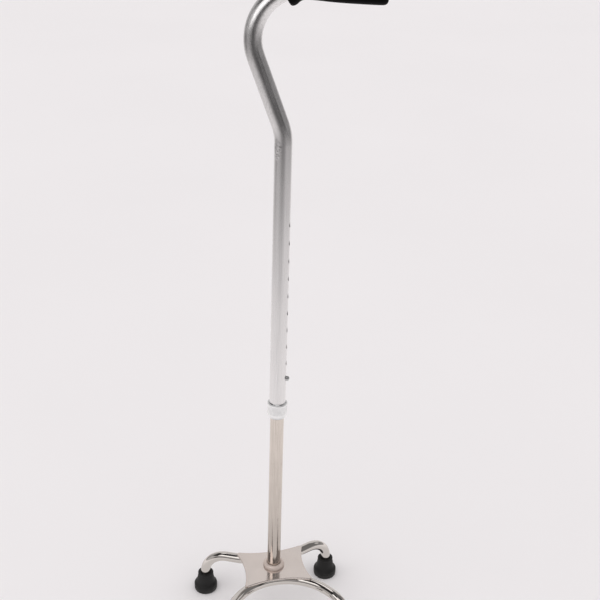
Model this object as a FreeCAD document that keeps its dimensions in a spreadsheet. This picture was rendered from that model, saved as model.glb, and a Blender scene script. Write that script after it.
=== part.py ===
import FreeCAD, Part
import os
import math
import Sketcher

# Quad walking cane.  Millimetres, +Z up, floor at z = 0, +X along the hand grip, origin under
# the middle of the overall bounding box.  The pole axis stands at (pole_x, pole_y); pieces of
# the upper tube are drawn in the plane of the handle, pieces of the base are drawn square to
# the base and turned by base_turn about the pole.

os.makedirs("parts", exist_ok=True)
doc = FreeCAD.newDocument("quad_cane")

# ---------------------------------------------------------------- driving dimensions
DIMS = [
    # placing
    ("pole_x", -3.166), ("pole_y", 18.546), ("base_turn", 13.2), ("pin_turn", -6.0),
    # upper tube (swan neck)
    ("up_od", 22.2), ("up_wall", 1.45), ("up_bottom", 341.0), ("neck_z", 739.5),
    ("neck_angle", 20.5), ("neck_bend", 70.0), ("top_bend", 61.0), ("handle_z", 914.5),
    ("handle_end", 106.0),
    # adjusting holes
    ("pin_z", 395.5), ("pin_pitch", 25.0), ("hole_dia", 7.5),
    # lower tube
    ("low_od", 19.0), ("low_wall", 1.5), ("low_bottom", 75.6), ("low_top", 470.0),
    ("low_hole_dia", 7.2),
    # hand grip
    ("grip_start", 8.0), ("grip_neck_r", 14.3), ("grip_waist_x", 20.0), ("grip_waist_r", 13.5),
    ("grip_belly_x", 62.0), ("grip_belly_r", 16.1), ("grip_palm_x", 106.0), ("grip_palm_r", 16.5),
    ("grip_end_x", 116.0), ("grip_end_r", 7.0), ("grip_end_round", 10.4),
    ("lip_angle", 15.5), ("lip_r", 17.2), ("lip_thick", 6.4),
    # locking collar
    ("sleeve_bottom", 341.2), ("sleeve_top", 359.0), ("sleeve_thread_r", 11.95),
    ("sleeve_flange_z", 357.7), ("sleeve_flange_r", 12.5), ("sleeve_chamfer", 0.9),
    ("nut_bottom", 334.0), ("nut_cone_top", 342.0), ("nut_top", 357.4), ("nut_r", 13.65),
    ("nut_foot_r", 10.7), ("nut_bore_r", 12.05), ("nut_shoulder_z", 340.9),
    ("nut_mouth_r", 9.9), ("nut_seat_z", 336.4), ("nut_edge", 0.7),
    ("ring_bottom", 336.6), ("ring_top", 340.9), ("ring_in_r", 9.56), ("ring_foot_r", 10.3),
    ("ring_head_r", 11.5), ("ring_slot", 1.6), ("knurl_r", 0.45), ("knurl_number", 40),
    # base plate
    ("plate_top", 75.5), ("plate_thick", 2.5), ("plate_rear_x", 51.8), ("plate_rear_y", 38.0),
    ("plate_front_x", 51.3), ("plate_front_y", 42.5), ("plate_side_curve", 105.0),
    ("plate_rear_curve", 167.0), ("plate_front_curve", 140.0), ("plate_corner", 3.5),
    ("plate_edge", 0.9), ("plate_hole_r", 4.35),
    # ferrule on the plate
    ("hub_r", 15.25), ("hub_height", 6.4), ("hub_band", 1.4), ("hub_lip_r", 11.0),
    ("hub_bore_r", 9.56), ("hub_crown", 4.4),
    # leg tubes
    ("leg_od", 14.3), ("leg_wall", 1.5), ("leg_bend", 33.0), ("leg_foot_z", 8.1),
    ("rear_apex", 25.2), ("rear_curve", 120.0), ("rear_half", 24.3), ("rear_reach", 48.0),
    ("front_apex", -23.4), ("front_curve", 82.0), ("front_half", 57.0), ("front_reach", 40.0),
    # rubber tips
    ("tip_height", 31.0), ("tip_top_r", 10.7), ("tip_neck_z", 20.5), ("tip_neck_r", 12.15),
    ("tip_flare_z", 12.0), ("tip_flare_r", 16.5), ("tip_rim_z", 9.4), ("tip_rim_r", 17.1),
    ("tip_tread_z", 1.2), ("tip_tread_r", 16.6), ("tip_sole_r", 15.9), ("tip_recess_r", 9.0),
    ("tip_recess_z", 1.6), ("tip_socket_z", 6.4), ("tip_flare_curve", 9.0),
    ("tip_groove_in", 11.2), ("tip_groove_out", 13.0), ("tip_groove_z", 1.2),
    ("disc_thick", 1.6), ("disc_r", 6.2),
    # post fastening
    ("bolt_r", 4.0), ("bolt_top", 99.0), ("bolt_head_across", 13.0), ("bolt_head_h", 5.3),
    ("washer_r", 11.0), ("washer_thick", 1.6), ("washer_bore_r", 4.35), ("spring_r", 7.2),
    ("spring_thick", 1.8), ("spring_cut", 1.4), ("insert_top", 96.0), ("insert_flange_z", 79.0),
    # plug in the top of the lower tube, plug in the handle end of the upper tube
    ("plug_depth", 14.0), ("plug_flange", 1.6), ("plug_flange_r", 9.45), ("plug_bore_r", 4.0),
    ("cap_depth", 12.0), ("cap_flange", 1.8),
    # snap button and its leaf spring
    ("button_r", 3.5), ("button_tip", 15.5), ("button_seat", 5.2), ("button_collar_r", 4.3),
    ("button_collar", 1.1), ("button_round", 3.1), ("leaf_thick", 0.8), ("leaf_width", 7.0),
    ("leaf_flat", 9.0), ("leaf_drop", 42.0), ("leaf_knee", 1.2), ("leaf_back", 7.1),
    # weld beads
    ("weld_length", 15.0), ("weld_width", 8.4), ("weld_height", 2.4),
    # plan position of the four legs under the plate where the beads sit
    ("weld_rear_at", 15.0), ("weld_front_at", 24.0),
]
V = dict(DIMS)
sheet = doc.addObject("Spreadsheet::Sheet", "dims")
for i, (alias, number) in enumerate(DIMS):
    sheet.set("A%d" % (i + 1), alias)
    sheet.set("B%d" % (i + 1), repr(float(number)))
    sheet.setAlias("B%d" % (i + 1), alias)
doc.recompute()


class Q:
    """A length or an angle that knows its number and the sheet formula that gives it."""

    def __init__(self, number, formula):
        self.n = float(number)
        self.f = formula

    def __add__(self, o):
        o = q(o)
        return Q(self.n + o.n, "(%s + %s)" % (self.f, o.f))

    def __sub__(self, o):
        o = q(o)
        return Q(self.n - o.n, "(%s - %s)" % (self.f, o.f))

    def __mul__(self, o):
        o = q(o)
        return Q(self.n * o.n, "(%s * %s)" % (self.f, o.f))

    def __truediv__(self, o):
        o = q(o)
        return Q(self.n / o.n, "(%s / %s)" % (self.f, o.f))

    def __neg__(self):
        return Q(-self.n, "(0 - %s)" % self.f)

    def __radd__(self, o):
        return q(o) + self

    def __rsub__(self, o):
        return q(o) - self

    def __rmul__(self, o):
        return q(o) * self


def q(o):
    return o if isinstance(o, Q) else Q(o, repr(float(o)))


def d(alias):
    return Q(V[alias], "dims." + alias)


def qsin(a):
    return Q(math.sin(math.radians(a.n)), "sin(%s)" % a.f)


def qcos(a):
    return Q(math.cos(math.radians(a.n)), "cos(%s)" % a.f)


def qtan(a):
    return Q(math.tan(math.radians(a.n)), "tan(%s)" % a.f)


# ---------------------------------------------------------------- small helpers
def set_q(obj, prop, value):
    value = q(value)
    obj.setExpression(prop, value.f)


def place(obj, z=0.0, turn=None, at=None):
    """Stand a finished piece on the pole axis, lifted by z and turned about it."""
    x, y = at if at else (q(0), q(0))
    angle = q(turn) if turn is not None else q(0)
    obj.Placement = FreeCAD.Placement(
        FreeCAD.Vector(0, 0, 0), FreeCAD.Rotation(FreeCAD.Vector(0, 0, 1), 1.0))
    c, s = qcos(angle), qsin(angle)
    obj.setExpression("Placement.Base.x", (d("pole_x") + x * c - y * s).f)
    obj.setExpression("Placement.Base.y", (d("pole_y") + x * s + y * c).f)
    obj.setExpression("Placement.Base.z", q(z).f)
    obj.setExpression("Placement.Rotation.Angle", angle.f)


def plane(body, role):
    for f in body.Origin.OriginFeatures:
        if f.Role == role:
            return f


def new_body(label):
    body = doc.addObject("PartDesign::Body", label)
    body.Label = label
    return body


def sketch_on(body, role, name, offset=None, normal_offset=None):
    sk = body.newObject("Sketcher::SketchObject", name)
    sk.AttachmentSupport = [(plane(body, role), "")]
    sk.MapMode = "FlatFace"
    if normal_offset is not None:
        sk.setExpression("AttachmentOffset.Base.z", q(normal_offset).f)
    return sk


def outline(sk, steps, closed=True):
    """Chain of lines and arcs through points given by sheet formulas.  A step is (x, y) or
    (x, y, radius, side): the segment that LEAVES this point is then an arc of that radius that
    bulges to the left (side 1) or right (side -1) of the way to the next point."""
    n = len(steps)
    geo = []
    last = n if closed else n - 1
    for i in range(last):
        a, b = steps[i], steps[(i + 1) % n]
        p0 = FreeCAD.Vector(q(a[0]).n, q(a[1]).n, 0)
        p1 = FreeCAD.Vector(q(b[0]).n, q(b[1]).n, 0)
        if len(a) > 2:
            r, side = q(a[2]).n, a[3]
            chord = p1 - p0
            half = chord.Length / 2.0
            rise = r - math.sqrt(max(r * r - half * half, 0.0))
            left = FreeCAD.Vector(-chord.y, chord.x, 0).normalize()
            mid = (p0 + p1) * 0.5 + left * (side * rise)
            geo.append(sk.addGeometry(Part.Arc(p0, mid, p1), False))
        else:
            geo.append(sk.addGeometry(Part.LineSegment(p0, p1), False))
    ends = []
    for i, g in enumerate(geo):
        a = steps[i]
        if len(a) > 2:
            start = sk.getPoint(g, 1)
            p0 = FreeCAD.Vector(q(a[0]).n, q(a[1]).n, 0)
            first = 1 if (start - p0).Length < 1e-6 else 2
        else:
            first = 1
        ends.append((first, 3 - first))
    for i in range(len(geo)):
        j = (i + 1) % len(geo)
        if j or closed:
            sk.addConstraint(Sketcher.Constraint(
                "Coincident", geo[i], ends[i][1], geo[j], ends[j][0]))
    for i in range(n):
        if i < len(geo):
            g, e = geo[i], ends[i][0]
        else:
            g, e = geo[-1], ends[-1][1]
        for kind, v, axis in (("DistanceX", q(steps[i][0]), -2), ("DistanceY", q(steps[i][1]), -1)):
            if abs(v.n) < 1e-9:
                sk.addConstraint(Sketcher.Constraint("PointOnObject", g, e, axis))
            else:
                c = sk.addConstraint(Sketcher.Constraint(kind, -1, 1, g, e, v.n))
                sk.setExpression("Constraints[%d]" % c, v.f)
    for i, g in enumerate(geo):
        if len(steps[i]) > 2:
            r = q(steps[i][2])
            c = sk.addConstraint(Sketcher.Constraint("Radius", g, r.n))
            sk.setExpression("Constraints[%d]" % c, r.f)
    return geo


def circle(sk, r, x=0.0, y=0.0):
    x, y, r = q(x), q(y), q(r)
    g = sk.addGeometry(Part.Circle(FreeCAD.Vector(x.n, y.n, 0), FreeCAD.Vector(0, 0, 1), r.n), False)
    for kind, v, axis in (("DistanceX", x, -2), ("DistanceY", y, -1)):
        if abs(v.n) < 1e-9:
            sk.addConstraint(Sketcher.Constraint("PointOnObject", g, 3, axis))
        else:
            c = sk.addConstraint(Sketcher.Constraint(kind, -1, 1, g, 3, v.n))
            sk.setExpression("Constraints[%d]" % c, v.f)
    c = sk.addConstraint(Sketcher.Constraint("Radius", g, r.n))
    sk.setExpression("Constraints[%d]" % c, r.f)


def revolved(label, steps, axis="V_Axis", name="section"):
    """A turned piece: outline in the XZ plane, spun about Z (V_Axis) or X (H_Axis)."""
    body = new_body(label)
    sk = sketch_on(body, "XZ_Plane", label + "_" + name)
    outline(sk, steps)
    rev = body.newObject("PartDesign::Revolution", label + "_turn")
    rev.Profile = sk
    rev.ReferenceAxis = (sk, [axis])
    rev.Angle = 360.0
    body.Tip = rev
    return body


def cylinder(name, r, length, z=0.0, x=0.0, y=0.0):
    c = doc.addObject("Part::Cylinder", name)
    c.setExpression("Radius", q(r).f)
    c.setExpression("Height", q(length).f)
    c.setExpression("Placement.Base.x", q(x).f)
    c.setExpression("Placement.Base.y", q(y).f)
    c.setExpression("Placement.Base.z", q(z).f)
    return c


def cross_cylinder(name, r, length, z, start, turn):
    """Cylinder lying level, its axis through the pole axis at the angle turn."""
    c = doc.addObject("Part::Cylinder", name)
    c.Placement = FreeCAD.Placement(
        FreeCAD.Vector(0, 0, 0),
        FreeCAD.Rotation(FreeCAD.Vector(0, 0, 1), turn.n) * FreeCAD.Rotation(FreeCAD.Vector(0, 1, 0), 90))
    c.setExpression("Radius", q(r).f)
    c.setExpression("Height", q(length).f)
    c.setExpression("Placement.Base.x", (q(start) * qcos(turn)).f)
    c.setExpression("Placement.Base.y", (q(start) * qsin(turn)).f)
    c.setExpression("Placement.Base.z", q(z).f)
    return c


def cut(name, base, tool):
    c = doc.addObject("Part::Cut", name)
    c.Base, c.Tool = base, tool
    return c


def fuse(name, shapes):
    f = doc.addObject("Part::MultiFuse", name)
    f.Shapes = shapes
    return f


NODES = []


def node(obj, label):
    obj.Label = label
    NODES.append((obj, label))
    return obj


# ---------------------------------------------------------------- upper tube
up_r = d("up_od") / 2
up_in = up_r - d("up_wall")
half_turn = d("neck_angle") / 2
tan_len = d("neck_bend") * qtan(half_turn)
sa, ca = qsin(d("neck_angle")), qcos(d("neck_angle"))
a1 = (q(0), d("neck_z") - tan_len)
a2 = (-(tan_len * sa), d("neck_z") + tan_len * ca)
top_z = d("handle_z") - d("top_bend")
top_x = (d("top_bend") - (top_z - d("neck_z")) * sa) / ca
b1 = (top_x - d("top_bend") * ca, top_z - d("top_bend") * sa)
b2 = (top_x, d("handle_z"))

up_core = new_body("upper_tube_bent")
up_path = sketch_on(up_core, "XZ_Plane", "upper_tube_path")
outline(up_path, [
    (q(0), d("up_bottom")),
    (a1[0], a1[1], d("neck_bend"), -1),
    (a2[0], a2[1]),
    (b1[0], b1[1], d("top_bend"), 1),
    (b2[0], b2[1]),
    (d("handle_end"), d("handle_z")),
], closed=False)
up_ring = sketch_on(up_core, "XY_Plane", "upper_tube_ring", normal_offset=d("up_bottom"))
circle(up_ring, up_r)
circle(up_ring, up_in)
up_pipe = up_core.newObject("PartDesign::AdditivePipe", "upper_tube_pipe")
up_pipe.Profile = up_ring
up_pipe.Spine = up_path
up_core.Tip = up_pipe

pin_turn = d("pin_turn")
drills = []
for k in range(10):
    drills.append(cross_cylinder(
        "adjust_drill_%d" % k, d("hole_dia") / 2, d("up_od") + 6,
        d("pin_z") + d("pin_pitch") * float(k), -(up_r + 3), pin_turn))
upper_tube = cut("upper_tube", up_core, fuse("adjust_drills", drills))
place(upper_tube)
node(upper_tube, "upper_tube")

# ---------------------------------------------------------------- hand grip
grip_shell = new_body("grip_shell")
grip_sk = sketch_on(grip_shell, "XZ_Plane", "grip_section")
hz = d("handle_z")
outline(grip_sk, [
    (d("grip_start"), hz),
    (d("grip_start"), hz + d("grip_neck_r"), q(90.0), -1),
    (d("grip_waist_x"), hz + d("grip_waist_r"), q(420.0), 1),
    (d("grip_belly_x"), hz + d("grip_belly_r"), q(900.0), 1),
    (d("grip_palm_x"), hz + d("grip_palm_r"), d("grip_end_round"), 1),
    (d("grip_end_x"), hz + d("grip_end_r")),
    (d("grip_end_x"), hz),
])
grip_axis = grip_shell.newObject("PartDesign::Line", "grip_axis")
grip_axis.AttachmentSupport = [(plane(grip_shell, "X_Axis"), "")]
grip_axis.MapMode = "TwoPointLine"
grip_rev = grip_shell.newObject("PartDesign::Revolution", "grip_turn")
grip_rev.Profile = grip_sk
grip_rev.ReferenceAxis = (grip_sk, ["Edge7"])
grip_rev.Angle = 360.0
grip_shell.Tip = grip_rev
grip_shell.removeObject(grip_axis)
doc.removeObject(grip_axis.Name)

lip_sin, lip_cos = qsin(d("lip_angle")), qcos(d("lip_angle"))
lip_x = top_x - d("top_bend") * lip_sin
lip_z = top_z + d("top_bend") * lip_cos
lip_round = d("lip_thick") / 2


def lip_place(obj, back):
    obj.Placement = FreeCAD.Placement(
        FreeCAD.Vector(0, 0, 0), FreeCAD.Rotation(FreeCAD.Vector(0, 1, 0), 90.0 - V["lip_angle"]))
    obj.setExpression("Placement.Base.x", (lip_x - back * lip_cos).f)
    obj.setExpression("Placement.Base.z", (lip_z - back * lip_sin).f)


lip_disc = doc.addObject("Part::Cylinder", "grip_lip_disc")
lip_disc.setExpression("Radius", (d("lip_r") - lip_round).f)
lip_disc.setExpression("Height", d("lip_thick").f)
lip_place(lip_disc, lip_round)
lip_rim = doc.addObject("Part::Torus", "grip_lip_rim")
lip_rim.setExpression("Radius1", (d("lip_r") - lip_round).f)
lip_rim.setExpression("Radius2", lip_round.f)
lip_place(lip_rim, q(0))
tube_fill = new_body("tube_solid")
fill_path = sketch_on(tube_fill, "XZ_Plane", "tube_solid_path")
outline(fill_path, [
    (b1[0], b1[1], d("top_bend"), 1),
    (b2[0], b2[1]),
    (d("handle_end"), d("handle_z")),
], closed=False)
fill_ring = sketch_on(tube_fill, "XY_Plane", "tube_solid_ring")
circle(fill_ring, up_r)
fill_ring.MapMode = "NormalToEdge"
fill_ring.AttachmentSupport = [(fill_path, "Edge1")]
fill_ring.setExpression("MapPathParameter", "0")
fill_pipe = tube_fill.newObject("PartDesign::AdditivePipe", "tube_solid_pipe")
fill_pipe.Profile = fill_ring
fill_pipe.Spine = fill_path
tube_fill.Tip = fill_pipe
cap_room = cylinder("grip_cap_room", up_r, d("cap_flange"))
cap_room.Placement = FreeCAD.Placement(FreeCAD.Vector(0, 0, 0), FreeCAD.Rotation(FreeCAD.Vector(0, 1, 0), 90))
cap_room.setExpression("Placement.Base.x", d("handle_end").f)
cap_room.setExpression("Placement.Base.z", hz.f)
handgrip = cut("handgrip", fuse("grip_outer", [grip_shell, lip_disc, lip_rim]),
               fuse("grip_core", [tube_fill, cap_room]))
place(handgrip)
node(handgrip, "handgrip")

# ---------------------------------------------------------------- plug in the handle end of the tube
cap = new_body("tube_end_plug")
cap_sk = sketch_on(cap, "XZ_Plane", "tube_end_plug_section")
outline(cap_sk, [
    (q(0) - d("cap_depth"), q(0)),
    (q(0) - d("cap_depth"), up_in - 0.6),
    (q(0) - d("cap_depth") + 1.5, up_in),
    (q(0), up_in),
    (q(0), up_r - 0.3),
    (d("cap_flange"), up_r - 0.3),
    (d("cap_flange"), q(0)),
])
cap_rev = cap.newObject("PartDesign::Revolution", "tube_end_plug_turn")
cap_rev.Profile = cap_sk
cap_rev.ReferenceAxis = (cap_sk, ["H_Axis"])
cap_rev.Angle = 360.0
cap.Tip = cap_rev
place(cap, z=hz, at=(d("handle_end"), q(0)))
node(cap, "tube_end_plug")

# ---------------------------------------------------------------- locking collar
sleeve = revolved("collet_sleeve", [
    (up_r, d("up_bottom")),
    (up_r, d("sleeve_top")),
    (d("sleeve_flange_r") - d("sleeve_chamfer"), d("sleeve_top")),
    (d("sleeve_flange_r"), d("sleeve_top") - d("sleeve_chamfer")),
    (d("sleeve_flange_r"), d("sleeve_flange_z")),
    (d("sleeve_thread_r"), d("sleeve_flange_z")),
    (d("sleeve_thread_r"), d("sleeve_bottom") + 0.6),
    (d("sleeve_thread_r") - 0.4, d("up_bottom")),
])
place(sleeve)
node(sleeve, "collet_sleeve")

nut = revolved("locking_nut", [
    (d("nut_mouth_r"), d("nut_bottom")),
    (d("nut_foot_r") - 0.4, d("nut_bottom")),
    (d("nut_foot_r"), d("nut_bottom") + 0.5),
    (d("nut_r"), d("nut_cone_top")),
    (d("nut_r"), d("nut_top") - d("nut_edge")),
    (d("nut_r") - d("nut_edge"), d("nut_top")),
    (d("nut_bore_r"), d("nut_top")),
    (d("nut_bore_r"), d("nut_shoulder_z")),
    (d("ring_head_r") + 0.12, d("nut_shoulder_z")),
    (d("ring_foot_r") + 0.12, d("nut_seat_z")),
    (d("nut_mouth_r"), d("nut_seat_z")),
])
knurl_sk = sketch_on(nut, "XY_Plane", "knurl_groove", normal_offset=d("nut_cone_top") + 0.9)
circle(knurl_sk, d("knurl_r"), x=d("nut_r") + 0.12)
knurl = nut.newObject("PartDesign::Pocket", "knurl_cut")
knurl.Profile = knurl_sk
knurl.Reversed = True
knurl.setExpression("Length", (d("nut_top") - d("nut_cone_top") - 2.2).f)
pattern = nut.newObject("PartDesign::PolarPattern", "knurl_round")
pattern.Originals = [knurl]
pattern.Axis = (plane(nut, "Z_Axis"), [""])
pattern.Angle = 360.0
pattern.setExpression("Occurrences", d("knurl_number").f)
nut.Tip = pattern
place(nut)
node(nut, "locking_nut")

ring_full = revolved("clamp_ring_full", [
    (d("ring_in_r"), d("ring_bottom")),
    (d("ring_foot_r"), d("ring_bottom")),
    (d("ring_head_r"), d("ring_top")),
    (d("ring_in_r"), d("ring_top")),
])
slot = doc.addObject("Part::Box", "clamp_ring_slot")
slot.setExpression("Length", d("ring_slot").f)
slot.Width = 20
slot.Height = 10
slot.setExpression("Placement.Base.x", (-(d("ring_slot") / 2)).f)
slot.setExpression("Placement.Base.y", q(0).f)
slot.setExpression("Placement.Base.z", (d("ring_bottom") - 2).f)
ring = cut("clamp_ring", ring_full, slot)
place(ring)
node(ring, "clamp_ring")

# ---------------------------------------------------------------- lower tube
low_r = d("low_od") / 2
low_in = low_r - d("low_wall")
low_core = new_body("lower_tube_blank")
low_sk = sketch_on(low_core, "XY_Plane", "lower_tube_ring", normal_offset=d("low_bottom"))
circle(low_sk, low_r)
circle(low_sk, low_in)
low_pad = low_core.newObject("PartDesign::Pad", "lower_tube_pad")
low_pad.Profile = low_sk
low_pad.setExpression("Length", (d("low_top") - d("low_bottom")).f)
low_core.Tip = low_pad
low_drill = cross_cylinder("button_drill", d("low_hole_dia") / 2, q(12.0), d("pin_z"), q(0), q(0))
lower_tube = cut("lower_tube", low_core, low_drill)
place(lower_tube, turn=pin_turn)
node(lower_tube, "lower_tube")

plug = revolved("lower_tube_plug", [
    (d("plug_bore_r"), -d("plug_depth")),
    (low_in - 0.8, -d("plug_depth")),
    (low_in, -d("plug_depth") + 1.6),
    (low_in, q(0)),
    (d("plug_flange_r"), q(0)),
    (d("plug_flange_r"), d("plug_flange") - 0.5),
    (d("plug_flange_r") - 0.5, d("plug_flange")),
    (d("plug_bore_r"), d("plug_flange")),
])
place(plug, z=d("low_top"))
node(plug, "lower_tube_plug")

insert = revolved("foot_insert", [
    (d("bolt_r"), d("low_bottom")),
    (low_in, d("low_bottom")),
    (low_in, d("insert_top") - 1.2),
    (low_in - 1.2, d("insert_top")),
    (d("bolt_r"), d("insert_top")),
])
place(insert)
node(insert, "foot_insert")

# ---------------------------------------------------------------- snap button and leaf spring
button = revolved("snap_button", [
    (d("button_seat"), q(0)),
    (d("button_seat"), d("button_collar_r")),
    (d("button_seat") + d("button_collar"), d("button_collar_r")),
    (d("button_seat") + d("button_collar"), d("button_r")),
    (d("button_tip") - 1.9, d("button_r"), d("button_round"), 1),
    (d("button_tip"), q(1.2)),
    (d("button_tip"), q(0)),
], axis="H_Axis")
place(button, z=d("pin_z"), turn=pin_turn)
node(button, "snap_button")

leaf = new_body("spring_clip")
leaf_sk = sketch_on(leaf, "XZ_Plane", "spring_clip_side")
lt = d("leaf_thick")
bs, bk = d("button_seat"), d("leaf_back")
outline(leaf_sk, [
    (bs - lt, d("leaf_flat")),
    (bs - lt, -d("leaf_flat")),
    (d("leaf_knee"), -d("leaf_drop") + 2.0),
    (-d("leaf_knee"), -d("leaf_drop") + 2.0),
    (lt - bk, -d("leaf_flat")),
    (lt - bk, d("leaf_flat")),
    (-bk, d("leaf_flat")),
    (-bk, -d("leaf_flat") - 0.2),
    (-d("leaf_knee") - 0.7, -d("leaf_drop")),
    (d("leaf_knee") + 0.7, -d("leaf_drop")),
    (bs, -d("leaf_flat") - 0.2),
    (bs, d("leaf_flat")),
])
leaf_pad = leaf.newObject("PartDesign::Pad", "spring_clip_width")
leaf_pad.Profile = leaf_sk
leaf_pad.setExpression("Length", d("leaf_width").f)
leaf_pad.Midplane = True
leaf.Tip = leaf_pad
place(leaf, z=d("pin_z"), turn=pin_turn)
node(leaf, "spring_clip")

# ---------------------------------------------------------------- post bolt and washers
plate_bottom = d("plate_top") - d("plate_thick")
washer = revolved("thrust_washer", [
    (d("washer_bore_r"), -d("washer_thick")),
    (d("washer_r"), -d("washer_thick")),
    (d("washer_r"), q(0)),
    (d("washer_bore_r"), q(0)),
])
place(washer, z=plate_bottom, turn=d("base_turn"))
node(washer, "thrust_washer")

spring_ring = revolved("spring_washer_ring", [
    (d("bolt_r") + 0.3, q(0.05)),
    (d("spring_r"), q(0.05)),
    (d("spring_r"), d("spring_thick") - 0.15),
    (d("bolt_r") + 0.3, d("spring_thick") - 0.15),
])
spring_gap = doc.addObject("Part::Box", "spring_washer_gap")
spring_gap.setExpression("Length", d("spring_cut").f)
spring_gap.Width = 12
spring_gap.Height = 6
spring_gap.Placement = FreeCAD.Placement(FreeCAD.Vector(0, 0, 0), FreeCAD.Rotation(FreeCAD.Vector(0, 1, 0), 20))
spring_gap.setExpression("Placement.Base.x", (-(d("spring_cut") / 2) - 1.0).f)
spring_gap.setExpression("Placement.Base.y", q(0).f)
spring_gap.setExpression("Placement.Base.z", q(-2.0).f)
spring = cut("spring_washer", spring_ring, spring_gap)
spring_z = plate_bottom - d("washer_thick") - d("spring_thick")
place(spring, z=spring_z)
node(spring, "spring_washer")

bolt = new_body("base_bolt")
head_sk = sketch_on(bolt, "XY_Plane", "bolt_hexagon")
hex_r = d("bolt_head_across") / 2 / qcos(q(30.0))
outline(head_sk, [(hex_r * math.cos(math.radians(60 * k)), hex_r * math.sin(math.radians(60 * k)))
                  if k not in (0, 3) else (hex_r * (1.0 if k == 0 else -1.0), q(0)) for k in range(6)])
head_pad = bolt.newObject("PartDesign::Pad", "bolt_head")
head_pad.Profile = head_sk
head_pad.setExpression("Length", d("bolt_head_h").f)
shank_sk = sketch_on(bolt, "XY_Plane", "bolt_shank_circle")
circle(shank_sk, d("bolt_r"))
shank_pad = bolt.newObject("PartDesign::Pad", "bolt_shank")
shank_pad.Profile = shank_sk
head_z = spring_z - d("bolt_head_h")
shank_pad.setExpression("Length", (d("bolt_top") - head_z).f)
bolt.Tip = shank_pad
place(bolt, z=head_z)
node(bolt, "base_bolt")

# ---------------------------------------------------------------- ferrule
hub = revolved("base_ferrule", [
    (d("hub_bore_r"), q(0)),
    (d("hub_r"), q(0)),
    (d("hub_r"), d("hub_band"), d("hub_crown"), -1),
    (d("hub_lip_r"), d("hub_height")),
    (d("hub_bore_r"), d("hub_height")),
])
place(hub, z=d("plate_top"), turn=d("base_turn"))
node(hub, "base_ferrule")

# ---------------------------------------------------------------- base plate
plate = new_body("base_plate")
plate_sk = sketch_on(plate, "XY_Plane", "plate_outline")
rx, ry, fx, fy = d("plate_rear_x"), d("plate_rear_y"), d("plate_front_x"), d("plate_front_y")
outline(plate_sk, [
    (rx, ry, d("plate_rear_curve"), 1),
    (-rx, ry, d("plate_side_curve"), 1),
    (-fx, -fy, d("plate_front_curve"), 1),
    (fx, -fy, d("plate_side_curve"), 1),
])
circle(plate_sk, d("plate_hole_r"))
plate_pad = plate.newObject("PartDesign::Pad", "plate_pad")
plate_pad.Profile = plate_sk
plate_pad.setExpression("Length", d("plate_thick").f)
plate.Tip = plate_pad
doc.recompute()
corners = []
for i, e in enumerate(plate_pad.Shape.Edges):
    a, b = e.Vertexes[0].Point, e.Vertexes[-1].Point
    if abs(a.z - b.z) > 1 and abs(a.x) > 40 and abs(a.x - b.x) < 1e-6:
        corners.append("Edge%d" % (i + 1))
round_corners = plate.newObject("PartDesign::Fillet", "plate_corners")
round_corners.Base = (plate_pad, corners)
round_corners.setExpression("Radius", d("plate_corner").f)
plate.Tip = round_corners
doc.recompute()
rims = []
for i, e in enumerate(round_corners.Shape.Edges):
    zs = [v.Point.z for v in e.Vertexes]
    if max(zs) - min(zs) < 1e-6 and e.BoundBox.DiagonalLength > 3 and max(
            math.hypot(v.Point.x, v.Point.y) for v in e.Vertexes) > 20:
        rims.append("Edge%d" % (i + 1))
round_rims = plate.newObject("PartDesign::Fillet", "plate_rims")
round_rims.Base = (round_corners, rims)
round_rims.setExpression("Radius", d("plate_edge").f)
plate.Tip = round_rims
place(plate, z=plate_bottom, turn=d("base_turn"))
node(plate, "base_plate")

# ---------------------------------------------------------------- leg tubes
# Each leg tube is bent in plan under the plate and then bent down at both ends, so its centre
# line leaves every plane: it is swept along a wire in space.  All sizes come from the sheet.


def cell(alias):
    return float(sheet.get(alias))


def leg_line(apex, curve, half, reach, sign):
    r0, a = curve, math.radians(half)
    zc = 0.0
    rb = cell("leg_bend")
    ex, ey = r0 * math.sin(a), apex + sign * (r0 - r0 * math.cos(a))
    dx, dy = math.cos(a), sign * math.sin(a)
    fx_, fy_ = ex + dx * reach, ey + dy * reach
    run = reach - rb
    kx, ky = ex + dx * run, ey + dy * run
    drop = leg_drop

    def v(x, y, z):
        return FreeCAD.Vector(x, y, z)

    s45 = math.sin(math.radians(45))
    mx, my = kx + dx * rb * s45, ky + dy * rb * s45
    mz = zc - rb * (1 - s45)
    edges = [
        Part.LineSegment(v(-fx_, fy_, -drop), v(-fx_, fy_, zc - rb)).toShape(),
        Part.Arc(v(-fx_, fy_, zc - rb), v(-mx, my, mz), v(-kx, ky, zc)).toShape(),
        Part.LineSegment(v(-kx, ky, zc), v(-ex, ey, zc)).toShape(),
        Part.Arc(v(-ex, ey, zc), v(0, apex, zc), v(ex, ey, zc)).toShape(),
        Part.LineSegment(v(ex, ey, zc), v(kx, ky, zc)).toShape(),
        Part.Arc(v(kx, ky, zc), v(mx, my, mz), v(fx_, fy_, zc - rb)).toShape(),
        Part.LineSegment(v(fx_, fy_, zc - rb), v(fx_, fy_, -drop)).toShape(),
    ]
    return Part.Wire(edges), (fx_, fy_), (ex, ey, dx, dy)


def swept(wire, foot, r):
    ring_wire = Part.Wire([Part.Circle(
        FreeCAD.Vector(-foot[0], foot[1], -leg_drop), FreeCAD.Vector(0, 0, 1), r).toShape()])
    return wire.makePipeShell([ring_wire], True, False)


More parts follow.
